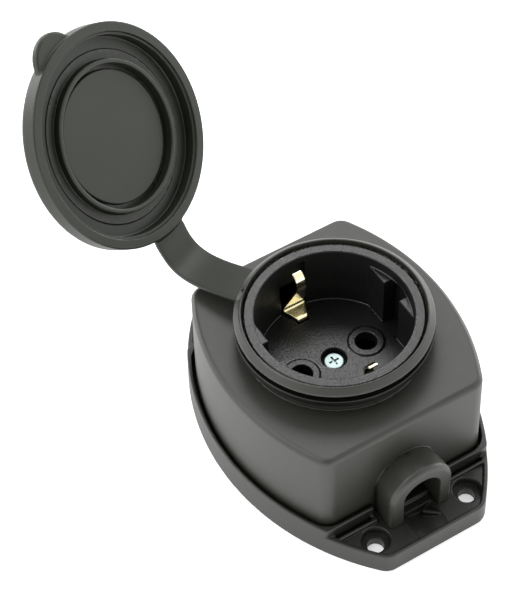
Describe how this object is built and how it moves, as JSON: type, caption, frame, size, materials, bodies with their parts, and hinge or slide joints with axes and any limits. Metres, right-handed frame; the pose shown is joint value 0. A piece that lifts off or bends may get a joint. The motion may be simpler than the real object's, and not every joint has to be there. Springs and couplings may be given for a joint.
{
  "type": "outdoor weatherproof socket",
  "caption": "Surface-mounted outdoor mains socket: bowed hood on a screw-down base, round plug recess with side earth clips, cable arch, and a rubber lid on a bent strap.",
  "frame": {"origin": "on the axis of the plug recess, at the flat back of the base, which is the wall face", "axes": "+Z out of the wall towards the plug, -Y towards the cable arch, +X along the row of the pin holes"},
  "size_m": [0.0835, 0.1274, 0.0921],
  "materials": {
    "base_plastic": "fine moulded texture, charcoal",
    "hood_plastic": "fine moulded texture, charcoal",
    "cup_plastic": "fine stipple, charcoal",
    "carrier_plastic": "plain moulded, black",
    "seal_rubber": "soft matt, black",
    "lid_rubber": "soft matt, charcoal",
    "brass": "rolled and stamped",
    "zinc_steel": "bright zinc plated",
    "spring_steel": "oiled spring steel"
  },
  "bodies": {
    "housing": {"base_plate": "base_plastic", "base_gasket": "seal_rubber", "hood": "hood_plastic", "cable_grommet": "seal_rubber", "socket_cup": "cup_plastic", "contact_carrier": "carrier_plastic", "left_contact": "brass", "right_contact": "brass", "left_contact_spring": "spring_steel", "right_contact_spring": "spring_steel", "earth_bracket": "brass", "left_wire_clamp": "zinc_steel", "right_wire_clamp": "zinc_steel", "earth_wire_clamp": "zinc_steel", "terminal_screws": "zinc_steel", "carrier_screws": "zinc_steel", "centre_screw": "zinc_steel", "centre_nut": "zinc_steel", "lid_tether": "lid_rubber"},
    "lid": {"lid": "lid_rubber"}
  },
  "joints": [
    {"name": "lid_hinge", "type": "hinge", "parent": "housing", "child": "lid", "pos_m": [-0.0151, 0.03558, 0.0357], "axis": [0.9189, 0.39, -0.0593], "range_deg": [-56, 122.9], "stiffness_Nm_per_rad": 0.05, "deforming": ["lid_tether"]}
  ]
}
